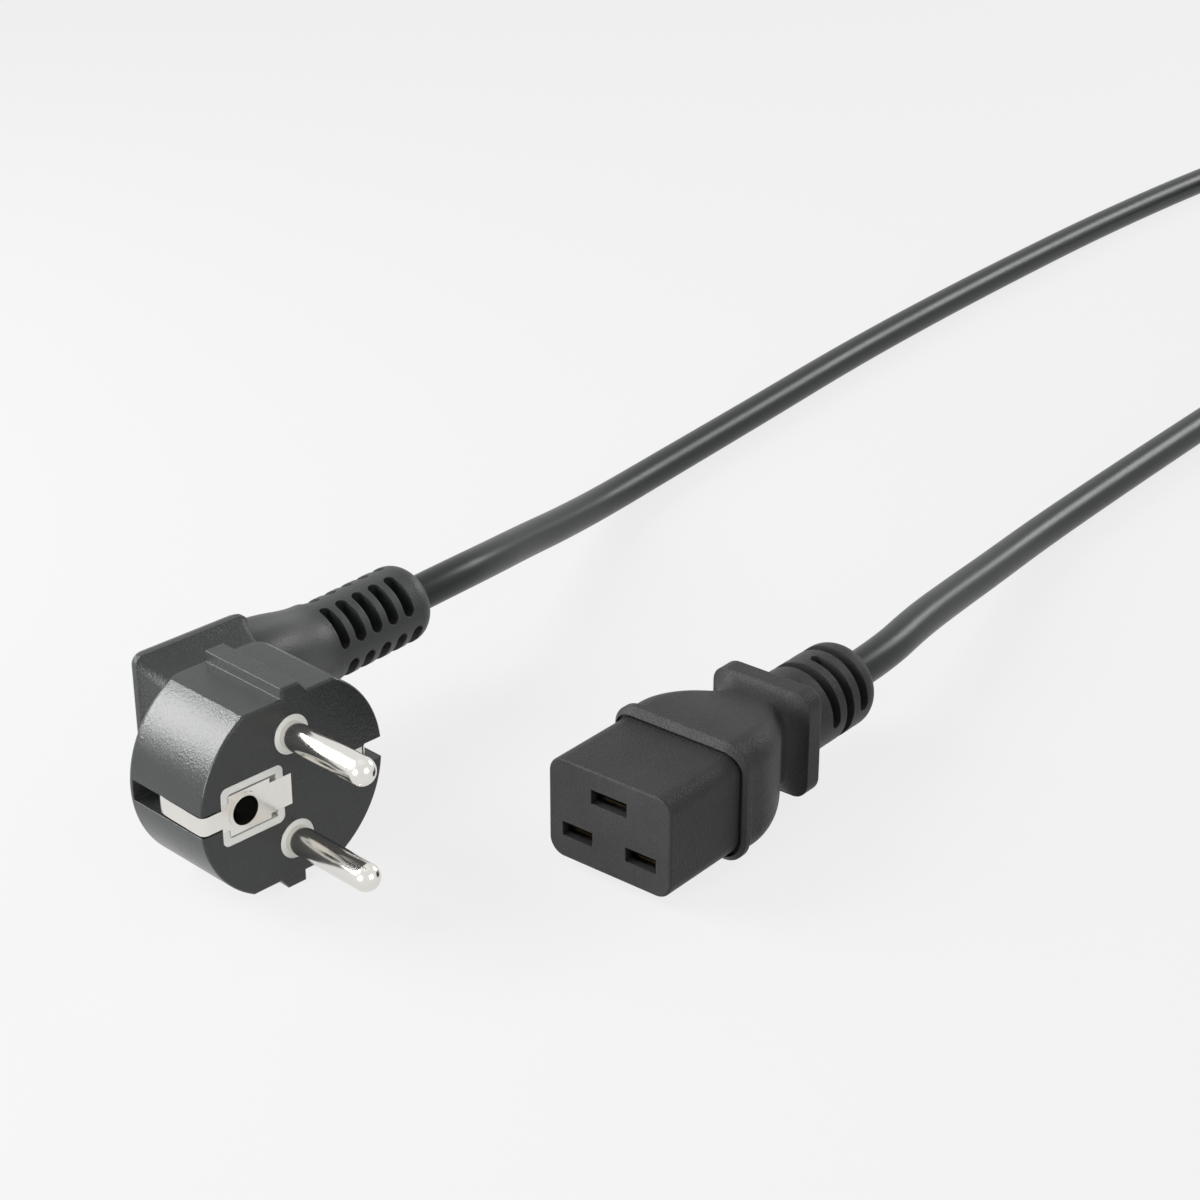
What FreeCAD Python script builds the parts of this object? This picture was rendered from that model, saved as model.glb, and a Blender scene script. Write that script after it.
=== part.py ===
import FreeCAD, Part
import math
import os

# Power cord: an angled earthed mains plug, a free cord with a coil, and an appliance connector.
# Millimetres, +Z up, the floor at z = 0. The origin is the centre of the face of the plug's lower rib.
# The plug's pins point along -Y and its cable leaves along +X.
Vector = FreeCAD.Vector

# Plug pins
PIN_RADIUS = 2.4
PIN_LENGTH = 19.0
PIN_PITCH = 19.0
PIN_SHANK_RADIUS = 2.1
PIN_FLANGE_RADIUS = 3.2
PIN_FLANGE_THICKNESS = 1.0

# Plug drum: a round body with flats above and below and a one-sided rib on each flat
DRUM_RADIUS = 18.5
DRUM_DEPTH = 19.0
FLAT_CUT = 2.4
RIB_RISE = 1.9
RIB_WALL = 1.5
RIB_CREST = 2.1
RIB_FOOT = 3.6
FACE_EDGE = 0.45
REAR_EDGE = 1.2

# Channels for the socket's earth springs
CHANNEL_WIDTH = 3.8
CHANNEL_DEPTH = 4.0
CHANNEL_LENGTH = 17.5

# Light contact bridge that carries the pins and the earth contact
COLLAR_RADIUS = 3.4
BRIDGE_FRONT = 2.0
BRIDGE_DEPTH = 9.5
BRIDGE_MARGIN = 3.5
FRAME_LEFT = 14.5
FRAME_RIGHT = 2.2
FRAME_HALF = 5.2
FRAME_CORNER = 1.2
FRAME_BORDER = 1.3
WINDOW_SIZE = 1.2
BRIDGE_SIDE = 2.0
BRIDGE_HEEL = 1.0

# Earth contact: plate, side springs and sleeve, all of one sheet thickness
EARTH_OFFSET = 10.0
EARTH_HOLE_RADIUS = 2.5
SLEEVE_WALL = 0.6
SLEEVE_DEPTH = 15.4
SHEET = 0.8
RIM_RISE = 0.2
SHEET_BEND = 0.72
PLATE_HALF = 3.6
PLATE_SHOULDER = 4.9
EAR_HALF = 2.4
TONGUE_HALF = 2.75
TONGUE_END = 0.6
STRAP_HALF = 1.6
STRAP_CROWN = 0.6
STRAP_CREST = 4.0
STRAP_DIVE = 14.0
STRAP_TAIL = 15.6
CLIP_TAB = 11.2
CLIP_RISE = 2.2
CLIP_CREST = 7.0
EARTH_CRIMP_X = -2.5

# Rear grip of the plug: a waist behind the drum, a flared rim and a domed back
RIM_DEPTH = 29.2
RIM_LAND = 1.0
RIM_HALF_HEIGHT = 15.3
RIM_LEFT = 7.9
RIM_RIGHT = 15.0
RIM_CORNER = 1.5
WAIST_INSET = 1.6
WAIST_HALF_HEIGHT = 11.6
WAIST_ROOT = 1.0
FLARE_SHARES = (0.0, 0.35, 0.6, 0.82, 1.0)
FLARE_CURVE = 0.96
BACK_DEPTH = 40.5
BACK_LEFT = 3.0
BACK_RIGHT = 14.0
BACK_HALF_HEIGHT = 8.0
BACK_CORNER = 4.0
BACK_PROFILE = ((0.0, 0.0), (0.5, 0.5), (0.86, 0.86), (0.96, 1.0), (1.0, 1.2))

# Plug cable outlet and its ladder of slots
RELIEF_RADIUS = 7.35
RELIEF_START = 34.0
RELIEF_END = 58.4
RELIEF_END_DEPTH = 37.9
RELIEF_RAKE = 5.0
RELIEF_ROUND = 3.6
LADDER_FIRST = 37.0
LADDER_PITCH = 4.07
LADDER_COUNT = 5
LADDER_WIDTH = 2.6
LADDER_FLOOR = 4.3
LADDER_ARC = 69.0
NECK_START = 10.0
NECK_HALF_HEIGHT = 11.6
NECK_HALF_DEPTH = 7.6
NECK_CORNER = 5.0
NECK_END_CORNER = 7.3
NECK_SHIFT = 3.4
NECK_STEP = 0.3
NECK_PROFILE = ((0.0, 0.0), (0.3, 0.0), (0.5, 0.24), (0.7, 0.62), (0.87, 0.92), (1.0, 1.0))
SLOT_OVERCUT = 2.0

# Cord and its three cores
CORD_RADIUS = 3.4
CORE_RADIUS = 1.15
STRAND_RADIUS = 0.65
CRIMP_RADIUS = 1.6
CRIMP_LENGTH = 6.0
CORE_SPREAD = 1.25
EARTH_CORE_SPREAD = 1.44
CORE_LEAD = 6.0
CORE_RUN_IN = 6.0
CORE_BENDS = ((3.5, 6.0, 7.6), (11.0, 2.2, 3.4))
EARTH_CORE_LEAD = 5.0
EARTH_CORE_RUN_IN = 16.0
EARTH_CORE_BEND = (5.0, 2.0)
INLET_CORE_LEAD = 4.5
INLET_CORE_RUN_IN = 8.0
JACKET_CUT = 27.0

# Connector: block with three slots, collar, waisted body, flange and cable outlet
BLOCK_HALF_WIDTH = 12.5
BLOCK_HALF_HEIGHT = 9.1
BLOCK_CORNER = 3.0
BLOCK_DEPTH = 17.3
BLOCK_EDGE = 0.5
ROOT_INSET = 1.4
ROOT_SIDE_WALL = 0.9
ROOT_DEPTH = 8.5
SLOT_PITCH = 13.0
SLOT_WIDTH = 6.2
EARTH_SLOT_WIDTH = 7.3
SLOT_HEIGHT = 2.6
SLOT_DROP = 3.65
EARTH_SLOT_RISE = 4.35
SLOT_LIP = 1.6
CAVITY_MARGIN = 0.6
CONTACT_WALL = 0.45
CONTACT_GAP = 0.1
CONTACT_START = 3.0
CONTACT_PAST = 2.5
COLLAR_HALF_WIDTH = 13.7
COLLAR_HALF_HEIGHT = 11.0
COLLAR_CORNER = 4.5
COLLAR_CHAMFER = 1.2
COLLAR_LENGTH = 2.3
GROOVE_WIDTH = 0.6
GROOVE_DEPTH = 1.2
GROOVE_OVERCUT = 2.0
SHOULDER_STEP = 0.35
WAIST_END = 37.8
BODY_HALF_WIDTH = 7.5
BODY_HALF_HEIGHT = 8.3
BODY_PROFILE = (
    (0.0, 0.0), (0.2, 0.015), (0.37, 0.08), (0.54, 0.25),
    (0.68, 0.47), (0.81, 0.74), (0.92, 0.94), (1.0, 1.0))
BODY_STRAIGHTNESS = 0.35
FLARE_PROFILE = ((0.0, 0.0), (0.45, 0.14), (0.8, 0.5), (1.0, 1.0))
FLANGE_START = 40.8
FLANGE_LENGTH = 3.8
FLANGE_HALF_WIDTH = 10.1
FLANGE_HALF_HEIGHT = 9.9
FLANGE_CORNER = 3.0
FLANGE_EDGE = 0.7
OUTLET_RADIUS = 7.95
OUTLET_END = 66.0
OUTLET_ROUND = 3.4
OUTLET_GROOVE_FIRST = 52.3
OUTLET_GROOVE_PITCH = 4.15
OUTLET_GROOVE_WIDTH = 2.2
OUTLET_GROOVE_FLOOR = 5.2
WEB_ANGLE = 30.0
WEB_TURNS = (155.0, 290.0, 155.0)
CONNECTOR_CUT = 43.0

# Where the connector's face lies and how far its axis turns from +X
CONNECTOR_X = 34.4
CONNECTOR_Y = -45.8
CONNECTOR_TURN = 4.9

# Free cord: each point is x, y and the height of the cord's underside above the floor;
# before the first point the cord runs straight out of its outlet for a short lead
CORD_LEAD = 12.0
PLUG_ROUTE = (
    (84.5, 34.0, 12.2),
    (99.5, 40.6, 8.6),
    (117.3, 47.6, 4.6),
    (137.0, 54.9, 1.1),
    (161.5, 60.6, 0.0),
    (200.5, 67.3, 0.0),
    (239.0, 74.3, 0.0),
    (277.0, 79.9, 0.0),
    (318.0, 84.9, 0.0),
    (371.0, 90.4, 0.0),
    (427.0, 93.5, 0.0),
)
CONNECTOR_ROUTE = (
    (128.5, -34.4, 6.7),
    (146.0, -29.6, 4.5),
    (164.5, -25.0, 2.4),
    (186.0, -20.0, 0.6),
    (213.0, -16.0, 0.0),
    (263.0, -10.3, 0.0),
    (317.0, -4.7, 0.0),
    (363.0, 1.2, 0.8),
    (399.0, 4.6, 4.4),
    (434.0, 5.5, 7.0),
)
BEND_SHARE = 0.45

# Coil: two flat layers of three turns, and a straight stub where the cord comes and goes
COIL_X = 490.0
COIL_Y = 49.5
COIL_OUTER_TURN = 44.0
COIL_TURN_PITCH = 7.0
COIL_TURNS_IN_LAYER = 3
COIL_LAYER_RISE = 7.0
COIL_TURNS = 5.5
COIL_STUB = 28.0

# Derived values
CLEAR = 0.1
FLAT_HALF = DRUM_RADIUS - FLAT_CUT
RIB_HALF = FLAT_HALF + RIB_RISE
FLAT_REACH = math.sqrt(DRUM_RADIUS ** 2 - FLAT_HALF ** 2)
CHANNEL_FLOOR = DRUM_RADIUS - CHANNEL_DEPTH
SLEEVE_RADIUS = EARTH_HOLE_RADIUS + SLEEVE_WALL
PLATE_LEFT = FRAME_LEFT - FRAME_BORDER - CLEAR
RIB_CENTRE = (RIB_WALL - RIB_CREST) / 2
PLUG_PLACE = FreeCAD.Placement(Vector(-RIB_CENTRE, -DRUM_DEPTH / 2, RIB_HALF), FreeCAD.Rotation())
RELIEF_AXIS = Vector(math.cos(math.radians(RELIEF_RAKE)), math.sin(math.radians(RELIEF_RAKE)), 0)
RELIEF_EXIT = Vector(RELIEF_END, RELIEF_END_DEPTH, 0)
CONNECTOR_PLACE = FreeCAD.Placement(
    Vector(CONNECTOR_X, CONNECTOR_Y, COLLAR_HALF_HEIGHT),
    FreeCAD.Rotation(Vector(0, 0, 1), CONNECTOR_TURN))
FLANGE_END = FLANGE_START + FLANGE_LENGTH
CONTACT_END = BLOCK_DEPTH + CONTACT_PAST
ROOT_HALF_WIDTH = SLOT_PITCH / 2 + SLOT_WIDTH / 2 + CAVITY_MARGIN + ROOT_SIDE_WALL
X_AXIS = Vector(1, 0, 0)
Y_AXIS = Vector(0, 1, 0)
Z_AXIS = Vector(0, 0, 1)


def box(x_range, y_range, z_range):
    """Box between two values on each axis."""
    size = (x_range[1] - x_range[0], y_range[1] - y_range[0], z_range[1] - z_range[0])
    return Part.makeBox(*size, Vector(x_range[0], y_range[0], z_range[0]))


def rounded_wire(origin, u_dir, v_dir, half_u, half_v, radius):
    """Closed rounded rectangle about origin in the plane of u_dir and v_dir."""
    def at(u, v):
        return origin + u_dir * u + v_dir * v

    edges = []
    last = None
    first = None
    for index, (side_u, side_v) in enumerate(((1, -1), (1, 1), (-1, 1), (-1, -1))):
        centre_u = side_u * (half_u - radius)
        centre_v = side_v * (half_v - radius)
        points = []
        for step in range(3):
            angle = math.radians(90 * index - 90 + 45 * step)
            points.append(at(centre_u + radius * math.cos(angle), centre_v + radius * math.sin(angle)))
        if last is not None:
            edges.append(Part.LineSegment(last, points[0]).toShape())
        else:
            first = points[0]
        edges.append(Part.Arc(*points).toShape())
        last = points[2]
    edges.append(Part.LineSegment(last, first).toShape())
    return Part.Wire(edges)


def rounded_prism(origin, u_dir, v_dir, half_u, half_v, radius, travel):
    """Rounded rectangle pushed along travel."""
    return Part.Face(rounded_wire(origin, u_dir, v_dir, half_u, half_v, radius)).extrude(travel)


def bent_path(points, share=BEND_SHARE):
    """Straight runs joined by tangent arcs; returns the wire and the arcs' radii."""
    edges = []
    radii = []
    start = points[0]
    for before, corner, after in zip(points, points[1:], points[2:]):
        incoming = (corner - before).normalize()
        outgoing = (after - corner).normalize()
        turn = incoming.getAngle(outgoing)
        setback = share * min(corner.distanceToPoint(before), corner.distanceToPoint(after))
        radius = setback / math.tan(turn / 2)
        inner = (outgoing - incoming).normalize()
        middle = corner + inner * (radius / math.cos(turn / 2) - radius)
        arc_start = corner - incoming * setback
        arc_end = corner + outgoing * setback
        edges.append(Part.LineSegment(start, arc_start).toShape())
        edges.append(Part.Arc(arc_start, middle, arc_end).toShape())
        radii.append(radius)
        start = arc_end
    edges.append(Part.LineSegment(start, points[-1]).toShape())
    return Part.Wire(edges), radii


def tube(points, radius):
    """Round rod along the bent path; returns the solid, the path's length and its radii."""
    path, radii = bent_path(points)
    circle = Part.makeCircle(radius, points[0], points[1] - points[0])
    solid = path.makePipeShell([Part.Wire([circle])], True, False)
    return solid, path.Length, radii


def strip(points, half_width, bend):
    """Bent sheet-metal strip whose middle line lies in the XY plane."""
    edges = []
    start = points[0]
    for before, corner, after in zip(points, points[1:], points[2:]):
        incoming = (corner - before).normalize()
        outgoing = (after - corner).normalize()
        turn = incoming.getAngle(outgoing)
        setback = bend * math.tan(turn / 2)
        inner = (outgoing - incoming).normalize()
        middle = corner + inner * (bend / math.cos(turn / 2) - bend)
        edges.append(Part.LineSegment(start, corner - incoming * setback).toShape())
        edges.append(Part.Arc(corner - incoming * setback, middle, corner + outgoing * setback).toShape())
        start = corner + outgoing * setback
    edges.append(Part.LineSegment(start, points[-1]).toShape())
    along = (points[1] - points[0]).normalize()
    across = along.cross(Z_AXIS)
    corners = []
    for side, rise in ((-1, -1), (1, -1), (1, 1), (-1, 1), (-1, -1)):
        corners.append(points[0] + across * (side * SHEET / 2) + Z_AXIS * (rise * half_width))
    profile = Part.makePolygon(corners)
    return Part.Wire(edges).makePipeShell([profile], True, False)


def edges_on_plane(shape, axis, value):
    """Edges of a shape that lie wholly on one plane square to an axis."""
    found = []
    for edge in shape.Edges:
        bounds = edge.BoundBox
        low = (bounds.XMin, bounds.YMin, bounds.ZMin)[axis]
        high = (bounds.XMax, bounds.YMax, bounds.ZMax)[axis]
        if abs(low - value) < 1e-4 and abs(high - value) < 1e-4:
            found.append(edge)
    return found


def relief_point(distance):
    """Point on the plug outlet's axis at a distance along +X from the plug's centre."""
    return RELIEF_EXIT + RELIEF_AXIS * ((distance - RELIEF_END) / RELIEF_AXIS.x)


# Plug
def drum_outline():
    """Closed outline of the drum in its face plane, ribs included."""
    half = []
    half.append((-FLAT_REACH, FLAT_HALF))
    half.append((-RIB_WALL, FLAT_HALF))
    half.append((-RIB_WALL, RIB_HALF))
    half.append((RIB_CREST, RIB_HALF))
    half.append((RIB_FOOT, FLAT_HALF))
    half.append((FLAT_REACH, FLAT_HALF))
    edges = []
    for side in (1, -1):
        points = [Vector(side * x, 0, side * z) for x, z in half]
        for start, end in zip(points, points[1:]):
            edges.append(Part.LineSegment(start, end).toShape())
        arc_end = Vector(side * FLAT_REACH, 0, -side * FLAT_HALF)
        edges.append(Part.Arc(points[-1], Vector(side * DRUM_RADIUS, 0, 0), arc_end).toShape())
    return Part.Wire(edges)


def drum():
    """Drum with softened front and rear outlines and the two spring channels."""
    solid = Part.Face(drum_outline()).extrude(Y_AXIS * DRUM_DEPTH)
    solid = solid.makeFillet(FACE_EDGE, edges_on_plane(solid, 1, 0))
    rear_arcs = [edge for edge in edges_on_plane(solid, 1, DRUM_DEPTH) if edge.Length > DRUM_RADIUS]
    solid = solid.makeFillet(REAR_EDGE, rear_arcs)
    half = CHANNEL_WIDTH / 2
    for side in (-1, 1):
        reach = sorted((side * CHANNEL_FLOOR, side * (DRUM_RADIUS + 1)))
        solid = solid.cut(box(reach, (-1, CHANNEL_LENGTH), (-half, half)))
    return solid


def rear_section(depth, left, right, half_height, corner):
    """Section of the rear grip at one depth, between its left and right sides."""
    centre = Vector((left + right) / 2, depth, 0)
    return rounded_wire(centre, X_AXIS, Z_AXIS, (right - left) / 2, half_height, corner)


def rear_grip():
    """Waist that flares in a hollow curve to the rim, and the back that slopes towards the cable."""
    start = DRUM_DEPTH - WAIST_ROOT
    full_rise = 1 - math.sqrt(1 - FLARE_CURVE)
    flare = []
    for share in FLARE_SHARES:
        depth = start + share * (RIM_DEPTH - start)
        rise = (1 - math.sqrt(1 - FLARE_CURVE * share ** 2)) / full_rise
        inset = WAIST_INSET * (1 - rise)
        height = WAIST_HALF_HEIGHT + (RIM_HALF_HEIGHT - WAIST_HALF_HEIGHT) * rise
        flare.append(rear_section(depth, -RIM_LEFT + inset, RIM_RIGHT - inset, height, RIM_CORNER))
    front = Part.makeLoft(flare, True, False)
    land = Part.Face(rear_section(RIM_DEPTH, -RIM_LEFT, RIM_RIGHT, RIM_HALF_HEIGHT, RIM_CORNER))
    slope = []
    slope_start = RIM_DEPTH + RIM_LAND
    for share, blend in BACK_PROFILE:
        depth = slope_start + share * (BACK_DEPTH - slope_start)
        left = -RIM_LEFT + (BACK_LEFT + RIM_LEFT) * blend
        right = RIM_RIGHT + (BACK_RIGHT - RIM_RIGHT) * blend
        height = RIM_HALF_HEIGHT + (BACK_HALF_HEIGHT - RIM_HALF_HEIGHT) * blend
        corner = RIM_CORNER + (BACK_CORNER - RIM_CORNER) * share
        slope.append(rear_section(depth, left, right, height, corner))
    back = Part.makeLoft(slope, True, False)
    return front.fuse([land.extrude(Y_AXIS * RIM_LAND), back])


def neck():
    """Hollow-sided neck from inside the rear grip to the round cable outlet."""
    across = Z_AXIS.cross(RELIEF_AXIS)
    end_radius = RELIEF_RADIUS + NECK_STEP
    wires = []
    for share, blend in NECK_PROFILE:
        centre = relief_point(NECK_START + share * (RELIEF_START - NECK_START))
        centre = centre - across * (NECK_SHIFT * (1 - blend))
        half_depth = NECK_HALF_DEPTH + (end_radius - NECK_HALF_DEPTH) * blend
        half_height = NECK_HALF_HEIGHT + (end_radius - NECK_HALF_HEIGHT) * blend
        corner = NECK_CORNER + (NECK_END_CORNER - NECK_CORNER) * share
        wires.append(rounded_wire(centre, across, Z_AXIS, half_depth, half_height, corner))
    return Part.makeLoft(wires, True, False)


def outlet_slot(origin, axis, radial, width, floor, reach, arc):
    """Slot bent round a cable outlet, with rounded ends; radial points at its middle."""
    end_turn = math.degrees(width / 2 / reach)
    sweep = arc - 2 * end_turn
    start = FreeCAD.Rotation(axis, -sweep / 2).multVec(radial)
    corners = []
    outside = reach + SLOT_OVERCUT
    for radius, side in ((floor, -1), (outside, -1), (outside, 1), (floor, 1), (floor, -1)):
        corners.append(origin + start * radius + axis * (side * width / 2))
    solid = Part.Face(Part.makePolygon(corners)).revolve(origin, axis, sweep)
    for turn in (-sweep / 2, sweep / 2):
        out = FreeCAD.Rotation(axis, turn).multVec(radial)
        solid = solid.fuse(Part.makeCylinder(width / 2, outside - floor, origin + out * floor, out))
    return solid


def relief():
    """Round cable outlet with a domed end and a staggered ladder of slots on its four diagonals."""
    start = relief_point(RELIEF_START - RELIEF_RADIUS)
    solid = Part.makeCylinder(RELIEF_RADIUS, start.distanceToPoint(RELIEF_EXIT), start, RELIEF_AXIS)
    end_edges = [edge for edge in solid.Edges if edge.BoundBox.Center.distanceToPoint(RELIEF_EXIT) < 0.01]
    solid = solid.makeFillet(RELIEF_ROUND, end_edges)
    slots = []
    for step in range(LADDER_COUNT):
        for side in range(4):
            stagger = -LADDER_PITCH / 2 if side % 2 == 0 else 0.0
            origin = relief_point(LADDER_FIRST + LADDER_PITCH * step + stagger)
            radial = FreeCAD.Rotation(RELIEF_AXIS, 45 + 90 * side).multVec(Z_AXIS)
            slots.append(outlet_slot(
                origin, RELIEF_AXIS, radial, LADDER_WIDTH, LADDER_FLOOR, RELIEF_RADIUS, LADDER_ARC))
    return solid, slots


def pin(side):
    """Round pin with a ball end, a thinner shank in the bridge, a flange behind it and a crimp barrel."""
    centre = Vector(0, 0, side * PIN_PITCH / 2)
    tip = PIN_RADIUS - PIN_LENGTH
    solid = Part.makeCylinder(PIN_RADIUS, -tip, centre + Y_AXIS * tip, Y_AXIS)
    solid = solid.fuse(Part.makeSphere(PIN_RADIUS, centre + Y_AXIS * tip))
    solid = solid.fuse(Part.makeCylinder(PIN_SHANK_RADIUS, BRIDGE_DEPTH, centre, Y_AXIS))
    rear = centre + Y_AXIS * BRIDGE_DEPTH
    solid = solid.fuse(Part.makeCylinder(PIN_FLANGE_RADIUS, PIN_FLANGE_THICKNESS, rear, Y_AXIS))
    rear = rear + Y_AXIS * PIN_FLANGE_THICKNESS
    solid = solid.fuse(Part.makeCylinder(CRIMP_RADIUS, CRIMP_LENGTH, rear, Y_AXIS))
    solid = solid.cut(Part.makeCylinder(STRAND_RADIUS, CRIMP_LENGTH, rear, Y_AXIS))
    return solid.removeSplitter()


def frame_envelope():
    """Outer form of the bridge's frame round the earth plate."""
    centre = Vector(-(FRAME_LEFT + FRAME_RIGHT) / 2, 0, 0)
    return rounded_prism(
        centre, X_AXIS, Z_AXIS, (FRAME_LEFT - FRAME_RIGHT) / 2, FRAME_HALF, FRAME_CORNER,
        Y_AXIS * BRIDGE_FRONT)


def bridge():
    """Light carrier: a core block, two collars round the pins and the frame of the earth plate."""
    core_left = -EARTH_OFFSET - SLEEVE_RADIUS - BRIDGE_HEEL
    core_right = PIN_RADIUS + BRIDGE_SIDE
    half = PIN_PITCH / 2 + BRIDGE_MARGIN
    centre = Vector((core_left + core_right) / 2, BRIDGE_FRONT, 0)
    solid = rounded_prism(
        centre, X_AXIS, Z_AXIS, (core_right - core_left) / 2, half, BRIDGE_MARGIN,
        Y_AXIS * (BRIDGE_DEPTH - BRIDGE_FRONT))
    for side in (-1, 1):
        centre = Vector(0, 0, side * PIN_PITCH / 2)
        solid = solid.fuse(Part.makeCylinder(COLLAR_RADIUS, BRIDGE_FRONT, centre, Y_AXIS))
    frame_centre = Vector(-(FRAME_LEFT + FRAME_RIGHT) / 2, 0, 0)
    recess = rounded_prism(
        frame_centre - Y_AXIS, X_AXIS, Z_AXIS, (FRAME_LEFT - FRAME_RIGHT) / 2 - FRAME_BORDER,
        FRAME_HALF - FRAME_BORDER, FRAME_CORNER / 2, Y_AXIS * (1 + SHEET))
    solid = solid.fuse(frame_envelope()).cut(recess)
    window_right = -FRAME_RIGHT - FRAME_BORDER
    for side in (-1, 1):
        heights = sorted((side * TONGUE_HALF, side * (FRAME_HALF - FRAME_BORDER)))
        solid = solid.cut(box((window_right - WINDOW_SIZE, window_right), (0, BRIDGE_FRONT), heights))
    for side in (-1, 1):
        centre = Vector(0, -1, side * PIN_PITCH / 2)
        solid = solid.cut(Part.makeCylinder(PIN_SHANK_RADIUS, BRIDGE_DEPTH + 2, centre, Y_AXIS))
    hole = Vector(-EARTH_OFFSET, 0, 0)
    solid = solid.cut(Part.makeCylinder(SLEEVE_RADIUS, BRIDGE_DEPTH + 1, hole, Y_AXIS))
    return solid.cut(earth_strap()).removeSplitter()


def spring_tail(side, inner_end):
    """Middle line of a side spring where it dives to the channel's floor and turns inwards to the sleeve."""
    floor = side * (CHANNEL_FLOOR + SHEET / 2)
    return [Vector(floor, STRAP_DIVE, 0), Vector(floor, STRAP_TAIL, 0), Vector(inner_end, STRAP_TAIL, 0)]


def earth_strap():
    """Earth plate with its hole, ear, tongue and rolled rim, and the left side spring, in one sheet."""
    plate = box((-PLATE_LEFT, -PLATE_SHOULDER), (0, SHEET), (-PLATE_HALF, PLATE_HALF))
    tongue = box((-PLATE_SHOULDER, -TONGUE_END), (0, SHEET), (-TONGUE_HALF, TONGUE_HALF))
    ear = box((-FRAME_LEFT, -PLATE_LEFT), (0, SHEET), (-EAR_HALF, EAR_HALF))
    crown = STRAP_CROWN - DRUM_RADIUS
    points = [Vector(-PLATE_LEFT, SHEET / 2, 0), Vector(crown, SHEET / 2, 0), Vector(crown, STRAP_CREST, 0)]
    points += spring_tail(-1, -EARTH_OFFSET - SLEEVE_RADIUS)
    solid = plate.fuse([tongue, ear, strip(points, STRAP_HALF, SHEET_BEND)])
    hole = Vector(-EARTH_OFFSET, -RIM_RISE, 0)
    solid = solid.fuse(Part.makeCylinder(SLEEVE_RADIUS, RIM_RISE + SHEET, hole, Y_AXIS))
    solid = solid.cut(Part.makeCylinder(EARTH_HOLE_RADIUS, RIM_RISE + SHEET, hole, Y_AXIS))
    return solid.removeSplitter()


def earth_crimp_start():
    """Front end of the earth crimp, on the back of the clip's inner bar."""
    return Vector(EARTH_CRIMP_X, STRAP_TAIL + SHEET / 2, 0)


def earth_clip():
    """Right side spring with its front tab, the inner bar that reaches the sleeve and the earth crimp."""
    floor = CHANNEL_FLOOR + SHEET / 2
    points = [Vector(CLIP_TAB, SHEET / 2, 0), Vector(floor, SHEET / 2, 0), Vector(floor, CLIP_RISE, 0)]
    points.append(Vector(DRUM_RADIUS - STRAP_CROWN, CLIP_CREST, 0))
    points += spring_tail(1, -EARTH_OFFSET + SLEEVE_RADIUS)
    rear = earth_crimp_start()
    barrel = Part.makeCylinder(CRIMP_RADIUS, CRIMP_LENGTH, rear, Y_AXIS)
    barrel = barrel.cut(Part.makeCylinder(STRAND_RADIUS, CRIMP_LENGTH, rear, Y_AXIS))
    return strip(points, STRAP_HALF, SHEET_BEND).fuse(barrel)


def earth_sleeve():
    """Closed tube behind the plate's hole that takes a socket's earth pin."""
    front = Vector(-EARTH_OFFSET, SHEET, 0)
    solid = Part.makeCylinder(SLEEVE_RADIUS, SLEEVE_DEPTH, front, Y_AXIS)
    return solid.cut(Part.makeCylinder(EARTH_HOLE_RADIUS, SLEEVE_DEPTH - SLEEVE_WALL, front, Y_AXIS))


def core_and_strand(points, crimp_start):
    """Insulated core along the points, and its copper strand, which starts down in the crimp."""
    outer = tube(points, CORE_RADIUS)[0]
    along = (points[1] - points[0]).normalize()
    bore = tube(points, STRAND_RADIUS)[0]
    depth = crimp_start.distanceToPoint(points[0])
    strand = bore.fuse(Part.makeCylinder(STRAND_RADIUS, depth, crimp_start, along)).removeSplitter()
    return outer.cut(bore), strand


def plug_cores():
    """The three cores from the crimps of the plug to the cord's cut jacket."""
    across = Z_AXIS.cross(RELIEF_AXIS)
    jacket = relief_point(JACKET_CUT)
    cores = {}
    barrel = Y_AXIS * CRIMP_LENGTH
    for name, side in (("line", 1), ("neutral", -1)):
        crimp = Vector(0, BRIDGE_DEPTH + PIN_FLANGE_THICKNESS, side * PIN_PITCH / 2)
        end = jacket + Z_AXIS * (side * CORE_SPREAD) - across * (CORE_SPREAD / 2)
        points = [crimp + barrel, crimp + barrel + Y_AXIS * CORE_LEAD]
        for x, short, height in CORE_BENDS:
            points.append(Vector(x, end.y - short, side * height))
        points += [end - RELIEF_AXIS * CORE_RUN_IN, end]
        cores[name] = core_and_strand(points, crimp)
    crimp = earth_crimp_start()
    end = jacket + across * EARTH_CORE_SPREAD
    points = [
        crimp + barrel,
        crimp + barrel + Y_AXIS * EARTH_CORE_LEAD,
        Vector(EARTH_CRIMP_X + EARTH_CORE_BEND[0], end.y - EARTH_CORE_BEND[1], 0),
        end - RELIEF_AXIS * EARTH_CORE_RUN_IN,
        end,
    ]
    cores["earth"] = core_and_strand(points, crimp)
    return cores


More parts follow.
